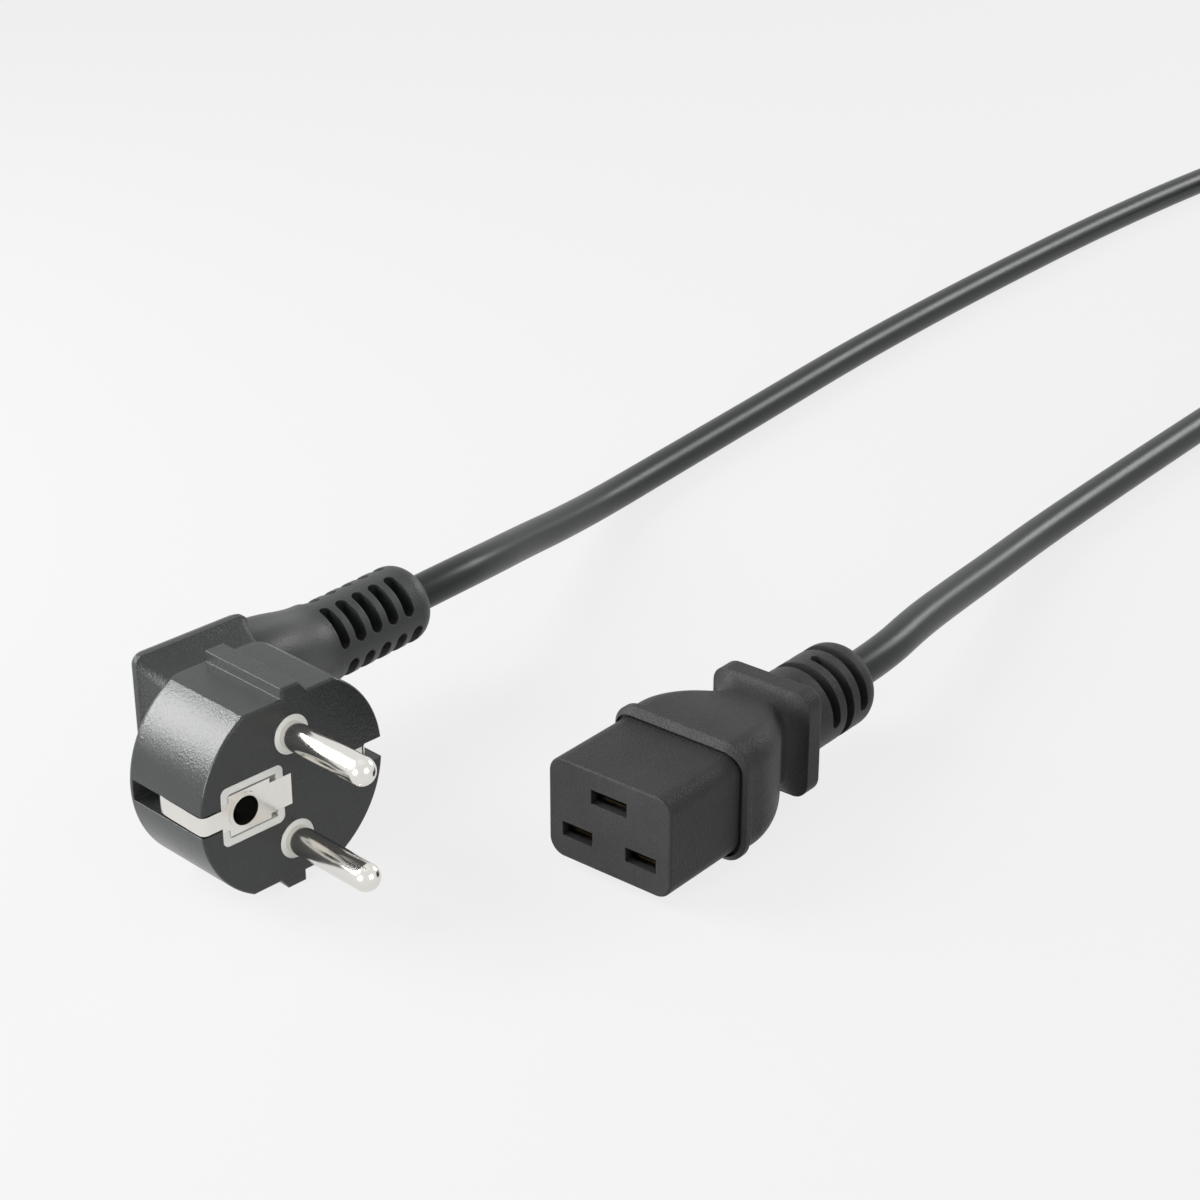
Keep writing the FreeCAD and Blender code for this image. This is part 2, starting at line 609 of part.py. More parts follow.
def plug_pieces():
    """All the plug's pieces in the shared frame."""
    pieces = {
        "line_pin": pin(1),
        "neutral_pin": pin(-1),
        "plug_contact_bridge": bridge(),
        "earth_strap": earth_strap(),
        "earth_clip": earth_clip(),
        "earth_sleeve": earth_sleeve(),
    }
    for name, (core, strand) in plug_cores().items():
        pieces["plug_core_" + name] = core
        pieces["plug_strand_" + name] = strand
    jacket = relief_point(JACKET_CUT)
    pieces["plug_jacket"] = Part.makeCylinder(
        CORD_RADIUS, jacket.distanceToPoint(RELIEF_EXIT), jacket, RELIEF_AXIS)
    outlet, slots = relief()
    body = drum().fuse([rear_grip(), neck(), outlet])
    body = body.cut(slots)
    body = body.cut(list(pieces.values()))
    sleeve_mouth = Part.makeCylinder(
        EARTH_HOLE_RADIUS, SHEET + SLEEVE_DEPTH - SLEEVE_WALL, Vector(-EARTH_OFFSET, 0, 0), Y_AXIS)
    pieces["plug_body"] = body.cut([sleeve_mouth, frame_envelope()])
    return {name: piece.transformed(PLUG_PLACE.toMatrix()) for name, piece in pieces.items()}


# Connector
def slot_layout():
    """Name, side, height and width of each slot."""
    return (
        ("line", -SLOT_PITCH / 2, -SLOT_DROP, SLOT_WIDTH),
        ("neutral", SLOT_PITCH / 2, -SLOT_DROP, SLOT_WIDTH),
        ("earth", 0.0, EARTH_SLOT_RISE, EARTH_SLOT_WIDTH),
    )


def slab(x_range, centre_y, centre_z, half_y, half_z):
    """Box about a line parallel to X."""
    return box(x_range, (centre_y - half_y, centre_y + half_y), (centre_z - half_z, centre_z + half_z))


def insert_block():
    """Block with its slots, a cavity open to the rear behind each slot, and a narrower root in the body."""
    solid = rounded_prism(
        Vector(0, 0, 0), Y_AXIS, Z_AXIS, BLOCK_HALF_WIDTH, BLOCK_HALF_HEIGHT, BLOCK_CORNER,
        X_AXIS * BLOCK_DEPTH)
    solid = solid.makeFillet(BLOCK_EDGE, edges_on_plane(solid, 0, 0))
    root = rounded_prism(
        Vector(BLOCK_DEPTH, 0, 0), Y_AXIS, Z_AXIS, ROOT_HALF_WIDTH,
        BLOCK_HALF_HEIGHT - ROOT_INSET, BLOCK_CORNER - ROOT_INSET / 2, X_AXIS * ROOT_DEPTH)
    solid = solid.fuse(root)
    rear = BLOCK_DEPTH + ROOT_DEPTH
    for _name, side, height, width in slot_layout():
        solid = solid.cut(slab((-1, SLOT_LIP + CLEAR), side, height, width / 2, SLOT_HEIGHT / 2))
        cavity = slab(
            (SLOT_LIP, rear), side, height, width / 2 + CAVITY_MARGIN, SLOT_HEIGHT / 2 + CAVITY_MARGIN)
        solid = solid.cut(cavity)
    return solid


def contact(side, height, width):
    """Folded female contact: an open box, pinched leaves at its mouth and a crimp barrel."""
    half_y = width / 2 + CAVITY_MARGIN - CONTACT_GAP
    half_z = SLOT_HEIGHT / 2 + CAVITY_MARGIN - CONTACT_GAP
    solid = slab((CONTACT_START, CONTACT_END), side, height, half_y, half_z)
    hollow = slab(
        (CONTACT_START - 1, CONTACT_END - CONTACT_WALL), side, height,
        half_y - CONTACT_WALL, half_z - CONTACT_WALL)
    solid = solid.cut(hollow)
    rear = Vector(CONTACT_END, side, height)
    barrel = Part.makeCylinder(CRIMP_RADIUS, CRIMP_LENGTH, rear, X_AXIS)
    return solid.fuse(barrel.cut(Part.makeCylinder(STRAND_RADIUS, CRIMP_LENGTH, rear, X_AXIS)))


def body_section(distance, half_width, half_height, corner):
    """Section of the connector's body at one distance behind its face."""
    return rounded_wire(Vector(distance, 0, 0), Y_AXIS, Z_AXIS, half_width, half_height, corner)


def connector_shell():
    """Outer form of the overmould: collar, shoulder, waist, flared flange and cable outlet."""
    collar = rounded_prism(
        Vector(BLOCK_DEPTH, 0, 0), Y_AXIS, Z_AXIS, COLLAR_HALF_WIDTH, COLLAR_HALF_HEIGHT, COLLAR_CORNER,
        X_AXIS * COLLAR_LENGTH)
    collar = collar.makeChamfer(COLLAR_CHAMFER, edges_on_plane(collar, 0, BLOCK_DEPTH))
    start = BLOCK_DEPTH + COLLAR_LENGTH
    shoulder_width = COLLAR_HALF_WIDTH - SHOULDER_STEP
    shoulder_height = COLLAR_HALF_HEIGHT - SHOULDER_STEP
    wires = []
    for share, blend in BODY_PROFILE:
        distance = start + share * (WAIST_END - start)
        half_width = shoulder_width + (BODY_HALF_WIDTH - shoulder_width) * blend
        height_blend = BODY_STRAIGHTNESS * share + (1 - BODY_STRAIGHTNESS) * blend
        half_height = shoulder_height + (BODY_HALF_HEIGHT - shoulder_height) * height_blend
        wires.append(body_section(distance, half_width, half_height, COLLAR_CORNER))
    trunk = Part.makeLoft(wires, True, False)
    wires = []
    for share, blend in FLARE_PROFILE:
        distance = WAIST_END + share * (FLANGE_START - WAIST_END)
        half_width = BODY_HALF_WIDTH + (FLANGE_HALF_WIDTH - BODY_HALF_WIDTH) * blend
        half_height = BODY_HALF_HEIGHT + (FLANGE_HALF_HEIGHT - BODY_HALF_HEIGHT) * blend
        corner = COLLAR_CORNER + (FLANGE_CORNER - COLLAR_CORNER) * share
        wires.append(body_section(distance, half_width, half_height, corner))
    flare = Part.makeLoft(wires, True, False)
    flange = rounded_prism(
        Vector(FLANGE_START, 0, 0), Y_AXIS, Z_AXIS, FLANGE_HALF_WIDTH, FLANGE_HALF_HEIGHT, FLANGE_CORNER,
        X_AXIS * FLANGE_LENGTH)
    flange = flange.makeFillet(FLANGE_EDGE, edges_on_plane(flange, 0, FLANGE_END))
    outlet = Part.makeCylinder(OUTLET_RADIUS, OUTLET_END - FLANGE_END + 1, Vector(FLANGE_END - 1, 0, 0), X_AXIS)
    outlet = outlet.makeFillet(OUTLET_ROUND, edges_on_plane(outlet, 0, OUTLET_END))
    return collar.fuse([trunk, flare, flange, outlet])


def connector_grooves():
    """Groove between block and collar, and the outlet's grooves, each broken by two webs."""
    grooves = []
    outer = rounded_prism(
        Vector(BLOCK_DEPTH - 1, 0, 0), Y_AXIS, Z_AXIS, BLOCK_HALF_WIDTH + GROOVE_WIDTH,
        BLOCK_HALF_HEIGHT + GROOVE_WIDTH, BLOCK_CORNER + GROOVE_WIDTH, X_AXIS * (GROOVE_DEPTH + 1))
    core = rounded_prism(
        Vector(BLOCK_DEPTH - GROOVE_OVERCUT, 0, 0), Y_AXIS, Z_AXIS, BLOCK_HALF_WIDTH, BLOCK_HALF_HEIGHT,
        BLOCK_CORNER, X_AXIS * (GROOVE_DEPTH + 2 * GROOVE_OVERCUT))
    grooves.append(outer.cut(core))
    for index, turn in enumerate(WEB_TURNS):
        origin = Vector(OUTLET_GROOVE_FIRST + OUTLET_GROOVE_PITCH * index, 0, 0)
        for half_turn in (90, 270):
            middle = math.radians(turn + half_turn)
            radial = Vector(0, -math.cos(middle), math.sin(middle))
            grooves.append(outlet_slot(
                origin, X_AXIS, radial, OUTLET_GROOVE_WIDTH, OUTLET_GROOVE_FLOOR, OUTLET_RADIUS,
                180 - WEB_ANGLE))
    return grooves


def connector_cores():
    """The three cores from the contacts' crimps to the cord's cut jacket."""
    cores = {}
    spots = {
        "line": Vector(CONNECTOR_CUT, -CORE_SPREAD, -CORE_SPREAD / 2),
        "neutral": Vector(CONNECTOR_CUT, CORE_SPREAD, -CORE_SPREAD / 2),
        "earth": Vector(CONNECTOR_CUT, 0, EARTH_CORE_SPREAD),
    }
    for name, side, height, _width in slot_layout():
        crimp = Vector(CONTACT_END, side, height)
        start = crimp + X_AXIS * CRIMP_LENGTH
        end = spots[name]
        points = [
            start,
            start + X_AXIS * INLET_CORE_LEAD,
            end - X_AXIS * INLET_CORE_RUN_IN,
            end,
        ]
        cores[name] = core_and_strand(points, crimp)
    return cores


def connector_pieces():
    """All the connector's pieces in the shared frame."""
    pieces = {"connector_insert": insert_block()}
    for name, side, height, width in slot_layout():
        pieces["contact_" + name] = contact(side, height, width)
    for name, (core, strand) in connector_cores().items():
        pieces["connector_core_" + name] = core
        pieces["connector_strand_" + name] = strand
    pieces["connector_jacket"] = Part.makeCylinder(
        CORD_RADIUS, OUTLET_END - CONNECTOR_CUT, Vector(CONNECTOR_CUT, 0, 0), X_AXIS)
    body = connector_shell().cut(connector_grooves())
    block = rounded_prism(
        Vector(BLOCK_DEPTH - 1, 0, 0), Y_AXIS, Z_AXIS, ROOT_HALF_WIDTH,
        BLOCK_HALF_HEIGHT - ROOT_INSET, BLOCK_CORNER - ROOT_INSET / 2, X_AXIS * (1 + ROOT_DEPTH))
    body = body.cut([block] + list(pieces.values()))
    pieces["connector_body"] = body
    return {name: piece.transformed(CONNECTOR_PLACE.toMatrix()) for name, piece in pieces.items()}


# Free cord
def raised(points):
    """Route points with the cord's underside at their stated height."""
    return [Vector(x, y, height + CORD_RADIUS) for x, y, height in points]


def coil_faces():
    """Centres of the coil's two stub faces: where the cord comes in and where it leaves."""
    face_x = COIL_X - COIL_STUB
    incoming = Vector(face_x, COIL_Y + COIL_OUTER_TURN, CORD_RADIUS)
    outgoing = Vector(face_x, COIL_Y - COIL_OUTER_TURN, CORD_RADIUS + COIL_LAYER_RISE)
    return incoming, outgoing


def coil():
    """Outer form of the coiled cord: a ring with rounded edges and a stub at each end."""
    outer = COIL_OUTER_TURN + CORD_RADIUS
    inner = COIL_OUTER_TURN - COIL_TURN_PITCH * (COIL_TURNS_IN_LAYER - 1) - CORD_RADIUS
    height = 2 * CORD_RADIUS + COIL_LAYER_RISE
    section = rounded_wire(
        Vector((outer + inner) / 2, 0, height / 2), X_AXIS, Z_AXIS,
        (outer - inner) / 2, height / 2, CORD_RADIUS)
    ring = Part.Face(section).revolve(Vector(0, 0, 0), Z_AXIS, 360)
    ring.translate(Vector(COIL_X, COIL_Y, 0))
    stubs = []
    for face in coil_faces():
        stubs.append(Part.makeCylinder(CORD_RADIUS, COIL_STUB, face, X_AXIS))
    return ring.fuse(stubs)


def cord_pieces():
    """The two free runs of the cord and its coil; prints radii, volumes and length."""
    incoming, outgoing = coil_faces()
    plug_lead = [PLUG_PLACE.multVec(RELIEF_EXIT + RELIEF_AXIS * lead) for lead in (0, CORD_LEAD)]
    connector_lead = [CONNECTOR_PLACE.multVec(X_AXIS * (OUTLET_END + lead)) for lead in (0, CORD_LEAD)]
    runs = {
        "cord_plug_run": plug_lead + raised(PLUG_ROUTE) + [incoming],
        "cord_connector_run": connector_lead + raised(CONNECTOR_ROUTE) + [outgoing],
    }
    pieces = {"cord_coil": coil()}
    total = 0.0
    for name, points in runs.items():
        solid, length, radii = tube(points, CORD_RADIUS)
        swept = math.pi * CORD_RADIUS ** 2 * length
        print(name, "radii", [round(radius, 1) for radius in radii])
        print(name, "volume", round(solid.Volume, 1), "section times length", round(swept, 1))
        pieces[name] = solid
        total += length
    middle_turn = COIL_OUTER_TURN - COIL_TURN_PITCH * (COIL_TURNS_IN_LAYER - 1) / 2
    total += COIL_TURNS * 2 * math.pi * middle_turn + 2 * COIL_STUB
    print("cord length", round(total))
    return pieces


def main():
    os.makedirs("parts", exist_ok=True)
    pieces = {}
    pieces.update(plug_pieces())
    pieces.update(connector_pieces())
    pieces.update(cord_pieces())
    for name, shape in pieces.items():
        print(name, "valid", shape.isValid(), "solids", len(shape.Solids), "volume", round(shape.Volume, 2))
        shape.exportStep("parts/" + name + ".step")


main()
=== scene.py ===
import math

import bpy
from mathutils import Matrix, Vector


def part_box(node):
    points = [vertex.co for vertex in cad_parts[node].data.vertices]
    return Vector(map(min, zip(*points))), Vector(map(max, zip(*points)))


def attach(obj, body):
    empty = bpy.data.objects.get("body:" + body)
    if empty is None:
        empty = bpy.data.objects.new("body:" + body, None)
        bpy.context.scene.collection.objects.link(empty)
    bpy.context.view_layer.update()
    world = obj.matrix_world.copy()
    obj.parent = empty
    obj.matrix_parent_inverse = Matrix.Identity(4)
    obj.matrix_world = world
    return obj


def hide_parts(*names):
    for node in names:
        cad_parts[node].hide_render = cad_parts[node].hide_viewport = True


bl_info = {
    "name": "Power cord",
    "version": (1, 0, 0),
    "blender": (4, 5, 0),
    "location": "3D View > Sidebar > Power cord",
    "description": "Finishes for an angled mains plug, its free cord and the appliance connector",
    "category": "Object",
}

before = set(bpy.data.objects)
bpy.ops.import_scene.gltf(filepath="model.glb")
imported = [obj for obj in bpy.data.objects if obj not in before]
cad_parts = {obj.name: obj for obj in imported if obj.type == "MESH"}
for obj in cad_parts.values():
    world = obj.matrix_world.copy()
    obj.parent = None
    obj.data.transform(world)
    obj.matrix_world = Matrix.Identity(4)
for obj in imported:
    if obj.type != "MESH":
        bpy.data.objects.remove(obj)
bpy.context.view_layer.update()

# Nodes of the frame by finish
PLUG_DARK = ("plug_body",)
CONNECTOR_DARK = ("connector_body", "connector_insert")
BRIDGE = ("plug_contact_bridge",)
BRIGHT_METAL = ("line_pin", "neutral_pin", "earth_strap", "earth_clip", "earth_sleeve")
BRASS = ("contact_line", "contact_neutral", "contact_earth")
JACKETS = ("plug_jacket", "connector_jacket")
CORE_COLOURS = {
    "line": ((0.13, 0.05, 0.02), (0.13, 0.05, 0.02)),
    "neutral": ((0.03, 0.11, 0.38), (0.03, 0.11, 0.38)),
    "earth": ((0.06, 0.26, 0.05), (0.72, 0.62, 0.05)),
}

# Cord route in metres: the centre line from the plug's outlet to the coil, and from the coil to the connector
PLUG_EXIT = (0.0587, 0.0284, 0.0180)
PLUG_LEAD = (0.07065, 0.02945, 0.0180)
PLUG_ROUTE = (
    (0.0845, 0.0340, 0.0156),
    (0.0995, 0.0406, 0.0120),
    (0.1173, 0.0476, 0.0080),
    (0.1370, 0.0549, 0.0045),
    (0.1615, 0.0606, 0.0034),
    (0.2005, 0.0673, 0.0034),
    (0.2390, 0.0743, 0.0034),
    (0.2770, 0.0799, 0.0034),
    (0.3180, 0.0849, 0.0034),
    (0.3710, 0.0904, 0.0034),
    (0.4270, 0.0935, 0.0034),
)
CONNECTOR_ROUTE = (
    (0.4340, 0.0055, 0.0104),
    (0.3990, 0.0046, 0.0078),
    (0.3630, 0.0012, 0.0042),
    (0.3170, -0.0047, 0.0034),
    (0.2630, -0.0103, 0.0034),
    (0.2130, -0.0160, 0.0034),
    (0.1860, -0.0200, 0.0040),
    (0.1645, -0.0250, 0.0058),
    (0.1460, -0.0296, 0.0079),
    (0.1285, -0.0344, 0.0101),
)
CONNECTOR_LEAD = (0.11212, -0.03914, 0.0110)
CONNECTOR_EXIT = (0.10016, -0.04016, 0.0110)
COIL_CENTRE = (0.490, 0.0495)
COIL_OUTER_TURN = 0.044
COIL_TURN_PITCH = 0.007
COIL_TURNS = 5.5
COIL_POINTS = 16
COIL_CLIMB_TURNS = 0.6

# Left earth spring, in metres back from the drum's face: the sheet's rear edge, the spring's crest, the slope
# of the plain spring behind it, and how far the real one lies below its crest at each distance
SPRING_REAR = 0.016
SPRING_CREST = 0.004
SPRING_SLOPE = 0.3
SPRING_SINK = (
    (0.0042, 0.00006),
    (0.0080, 0.00010),
    (0.0100, 0.00018),
    (0.0110, 0.00032),
    (0.0118, 0.00065),
    (0.0126, 0.00130),
    (0.0133, 0.00215),
    (0.01385, 0.00290),
)

# Points closer than this are one point, and a cut's points lie this close to its plane
SAME_POINT = 0.000001
ON_PLANE = 0.00001

# Camera of the photograph
CAMERA_PLACE = (-0.22206, -0.29356, 0.22508)
CAMERA_HEADING = (0.7165, 0.6976)
CAMERA_PITCH = 25.974
CAMERA_LENS = 78.0
CAMERA_SENSOR = 36.0

# Page, floor and surroundings
PAGE_GREY = 0.92
PAGE_SHARE = 0.87
FLOOR_GREY = 0.6
FLOOR_SIZE = 12.0
WORLD_LIGHT = 0.25

# Softboxes: name, place, target, side of the square in metres, power in watts
LAMPS = (
    ("Key softbox", (-0.26, 0.38, 0.32), (0.0, 0.0, 0.018), 0.37, 5.4),
    ("Left softbox", (-1.10, -0.05, 0.30), (0.0, 0.0, 0.015), 0.42, 12.5),
    ("Edge softbox", (0.95, -0.10, 0.40), (0.2, 0.02, 0.0), 0.28, 2.7),
    ("Front softbox", (0.10, -1.50, 0.60), (0.05, 0.0, 0.01), 0.76, 6.3),
    ("Top softbox", (0.1, 0.1, 1.0), (0.1, 0.0, 0.0), 0.9, 0.3),
)

# Plug's finish: where the matt grip begins behind the drum, and the smooth neck beside it
EDGE_ROUNDING = 0.00025
DRUM_REAR = 0.0096
GRIP_BLEND = 0.0002
GRIP_ROUGHER = 0.20
NECK_BEGIN = 0.0135
NECK_BLEND = 0.002
RIM_COARSER = 0.7

# Cells of the smoother plastics' faint grain
SHEATH_CELL = 0.0016
CARRIER_CELL = 0.0012

# Make-up of the moulded grain: fine noise per cell, height of a cell over the noise, share of the fine noise in
# the tone beside the broad one, how far the roughness follows the tone, and the scale of the broad noise
FINE_PER_CELL = 1.7
CELL_HEIGHT = 0.7
FINE_SHARE = 0.45
TONE_MIDDLE = 0.5
ROUGHNESS_DRIFT = 0.18
DRIFT_SCALE = 90.0

# Drawn streaks of bare and plated metal: scale across and along, least and most roughness, darkest tint, and
# the colours of the metals inside both ends; the contacts' brass is painted near black, as painted shade of
# their slots
STREAK_SCALE = (1500.0, 160.0, 1500.0)
STREAK_SMOOTH = 0.7
STREAK_ROUGH = 1.4
STREAK_TINT = 0.93
# Brass of the inner contacts darkened to near black: painted shade deep in the connector's slots
CONTACT_SHADE_COLOUR = (0.06, 0.045, 0.025)
COPPER_COLOUR = (0.72, 0.36, 0.2)

# Bands of colour on a core's insulation
BAND_SCALE = 60.0


# Sizes and colours that a user would change
class CordSizes(bpy.types.PropertyGroup):
    """Sizes of the free cord."""
    diameter: bpy.props.FloatProperty(
        name="Diameter", description="Outside diameter of the sheath", default=0.0068, unit="LENGTH")
    length: bpy.props.FloatProperty(
        name="Length", description="Length of the cord between its two outlets", default=2.08, unit="LENGTH")
    rise: bpy.props.FloatProperty(
        name="Layer rise", description="Height of the coil's second layer over its first", default=0.007,
        unit="LENGTH")


class Finishes(bpy.types.PropertyGroup):
    """Colours and grain of the surfaces."""
    plug: bpy.props.FloatVectorProperty(
        name="Plug", description="Colour of the plug's overmould", subtype="COLOR", size=3,
        default=(0.020, 0.0222, 0.0215))
    connector: bpy.props.FloatVectorProperty(
        name="Connector", description="Colour of the connector's overmould", subtype="COLOR", size=3,
        default=(0.032, 0.031, 0.031))
    sheath: bpy.props.FloatVectorProperty(
        name="Sheath", description="Colour of the cord's sheath", subtype="COLOR", size=3,
        default=(0.021, 0.023, 0.023))
    bridge: bpy.props.FloatVectorProperty(
        name="Bridge", description="Colour of the light contact carrier", subtype="COLOR", size=3,
        default=(0.74, 0.74, 0.71))
    nickel: bpy.props.FloatVectorProperty(
        name="Nickel", description="Colour of the plated pins and springs", subtype="COLOR", size=3,
        default=(0.80, 0.78, 0.74))
    grain: bpy.props.FloatProperty(
        name="Grain size", description="Size of one cell of the moulded grain", default=0.0004, unit="LENGTH")


# Shader helpers
def grain_group():
    """Leathery grain of moulded plastic: cells with soft walls, drifting in size, over fine noise."""
    group = bpy.data.node_groups.new("Moulded grain", "ShaderNodeTree")
    face = group.interface
    face.new_socket(name="Colour", in_out="INPUT", socket_type="NodeSocketColor")
    face.new_socket(name="Cell size", in_out="INPUT", socket_type="NodeSocketFloat")
    face.new_socket(name="Tone drift", in_out="INPUT", socket_type="NodeSocketFloat")
    face.new_socket(name="Roughness", in_out="INPUT", socket_type="NodeSocketFloat")
    face.new_socket(name="Colour", in_out="OUTPUT", socket_type="NodeSocketColor")
    face.new_socket(name="Roughness", in_out="OUTPUT", socket_type="NodeSocketFloat")
    face.new_socket(name="Height", in_out="OUTPUT", socket_type="NodeSocketFloat")
    nodes = group.nodes
    links = group.links
    inputs = nodes.new("NodeGroupInput")
    outputs = nodes.new("NodeGroupOutput")
    place = nodes.new("ShaderNodeTexCoord")
    inverse = nodes.new("ShaderNodeMath")
    inverse.operation = "DIVIDE"
    inverse.inputs[0].default_value = 1.0
    links.new(inputs.outputs["Cell size"], inverse.inputs[1])
    cells = nodes.new("ShaderNodeTexVoronoi")
    cells.feature = "SMOOTH_F1"
    cells.inputs["Smoothness"].default_value = 0.6
    links.new(place.outputs["Object"], cells.inputs["Vector"])
    links.new(inverse.outputs[0], cells.inputs["Scale"])
    fine = nodes.new("ShaderNodeTexNoise")
    fine.inputs["Detail"].default_value = 3.0
    finer = nodes.new("ShaderNodeMath")
    finer.operation = "MULTIPLY"
    finer.inputs[1].default_value = FINE_PER_CELL
    links.new(inverse.outputs[0], finer.inputs[0])
    links.new(place.outputs["Object"], fine.inputs["Vector"])
    links.new(finer.outputs[0], fine.inputs["Scale"])
    height = nodes.new("ShaderNodeMath")
    height.operation = "MULTIPLY_ADD"
    height.inputs[1].default_value = CELL_HEIGHT
    links.new(cells.outputs["Distance"], height.inputs[0])
    links.new(fine.outputs["Fac"], height.inputs[2])
    links.new(height.outputs[0], outputs.inputs["Height"])
    drift = nodes.new("ShaderNodeTexNoise")
    drift.inputs["Scale"].default_value = DRIFT_SCALE
    drift.inputs["Detail"].default_value = 4.0
    links.new(place.outputs["Object"], drift.inputs["Vector"])
    blend = nodes.new("ShaderNodeMath")
    blend.operation = "MULTIPLY_ADD"
    blend.inputs[1].default_value = FINE_SHARE
    links.new(fine.outputs["Fac"], blend.inputs[0])
    half = nodes.new("ShaderNodeMath")
    half.operation = "MULTIPLY_ADD"
    half.inputs[1].default_value = 1.0 - FINE_SHARE
    half.inputs[2].default_value = -TONE_MIDDLE
    links.new(drift.outputs["Fac"], half.inputs[0])
    links.new(half.outputs[0], blend.inputs[2])
    tone = nodes.new("ShaderNodeMath")
    tone.operation = "MULTIPLY_ADD"
    tone.inputs[2].default_value = 1.0
    links.new(blend.outputs[0], tone.inputs[0])
    links.new(inputs.outputs["Tone drift"], tone.inputs[1])
    shade = nodes.new("ShaderNodeVectorMath")
    shade.operation = "SCALE"
    links.new(inputs.outputs["Colour"], shade.inputs[0])
    links.new(tone.outputs[0], shade.inputs["Scale"])
    links.new(shade.outputs["Vector"], outputs.inputs["Colour"])
    rough = nodes.new("ShaderNodeMath")
    rough.operation = "MULTIPLY_ADD"
    rough.inputs[1].default_value = ROUGHNESS_DRIFT
    links.new(blend.outputs[0], rough.inputs[0])
    links.new(inputs.outputs["Roughness"], rough.inputs[2])
    links.new(rough.outputs[0], outputs.inputs["Roughness"])
    return group


def new_material(name):
    """Empty node material with its surface shader; returns the material, its tree and the shader."""
    material = bpy.data.materials.new(name)
    material.use_nodes = True
    tree = material.node_tree
    shader = tree.nodes["Principled BSDF"]
    return material, tree, shader


def grained(name, colour, roughness, cell, drift, bump, depth, shine=0.35, rounding=EDGE_ROUNDING):
    """Moulded plastic with grain in its colour, roughness and relief, and edges rounded in their shading."""
    material, tree, shader = new_material(name)
    shader.inputs["Specular IOR Level"].default_value = shine
    group = bpy.data.node_groups.get("Moulded grain") or grain_group()
    grain = tree.nodes.new("ShaderNodeGroup")
    grain.node_tree = group
    grain.inputs["Colour"].default_value = (*colour, 1.0)
    grain.inputs["Cell size"].default_value = cell
    grain.inputs["Tone drift"].default_value = drift
    grain.inputs["Roughness"].default_value = roughness
    relief = tree.nodes.new("ShaderNodeBump")
    relief.inputs["Strength"].default_value = bump
    relief.inputs["Distance"].default_value = depth
    if rounding:
        edges = tree.nodes.new("ShaderNodeBevel")
        edges.samples = 6
        edges.inputs["Radius"].default_value = rounding
        tree.links.new(edges.outputs["Normal"], relief.inputs["Normal"])
    tree.links.new(grain.outputs["Colour"], shader.inputs["Base Color"])
    tree.links.new(grain.outputs["Roughness"], shader.inputs["Roughness"])
    tree.links.new(grain.outputs["Height"], relief.inputs["Height"])
    tree.links.new(relief.outputs["Normal"], shader.inputs["Normal"])
    return material


def matt_grip(material):
    """Makes the plastic behind the plug's drum matter and coarser than the drum, as its mould is."""
    tree = material.node_tree
    shader = tree.nodes["Principled BSDF"]
    place = tree.nodes.new("ShaderNodeTexCoord")
    axes = tree.nodes.new("ShaderNodeSeparateXYZ")
    tree.links.new(place.outputs["Object"], axes.inputs["Vector"])
    behind = tree.nodes.new("ShaderNodeMapRange")
    behind.inputs["From Min"].default_value = DRUM_REAR - GRIP_BLEND
    behind.inputs["From Max"].default_value = DRUM_REAR + GRIP_BLEND
    tree.links.new(axes.outputs["Y"], behind.inputs["Value"])
    rough = tree.nodes.new("ShaderNodeMath")
    rough.operation = "MULTIPLY_ADD"
    rough.inputs[1].default_value = GRIP_ROUGHER
    tree.links.new(behind.outputs["Result"], rough.inputs[0])
    tree.links.new(shader.inputs["Roughness"].links[0].from_socket, rough.inputs[2])
    tree.links.new(rough.outputs["Value"], shader.inputs["Roughness"])
    before_neck = tree.nodes.new("ShaderNodeMapRange")
    before_neck.inputs["From Min"].default_value = NECK_BEGIN + NECK_BLEND
    before_neck.inputs["From Max"].default_value = NECK_BEGIN - NECK_BLEND
    before_neck.inputs["To Min"].default_value = 0.0
    before_neck.inputs["To Max"].default_value = RIM_COARSER
    tree.links.new(axes.outputs["X"], before_neck.inputs["Value"])
    relief = shader.inputs["Normal"].links[0].from_node
    coarse = tree.nodes.new("ShaderNodeMath")
    coarse.operation = "MULTIPLY_ADD"
    coarse.inputs[2].default_value = relief.inputs["Strength"].default_value
    tree.links.new(behind.outputs["Result"], coarse.inputs[0])
    tree.links.new(before_neck.outputs["Result"], coarse.inputs[1])
    tree.links.new(coarse.outputs["Value"], relief.inputs["Strength"])


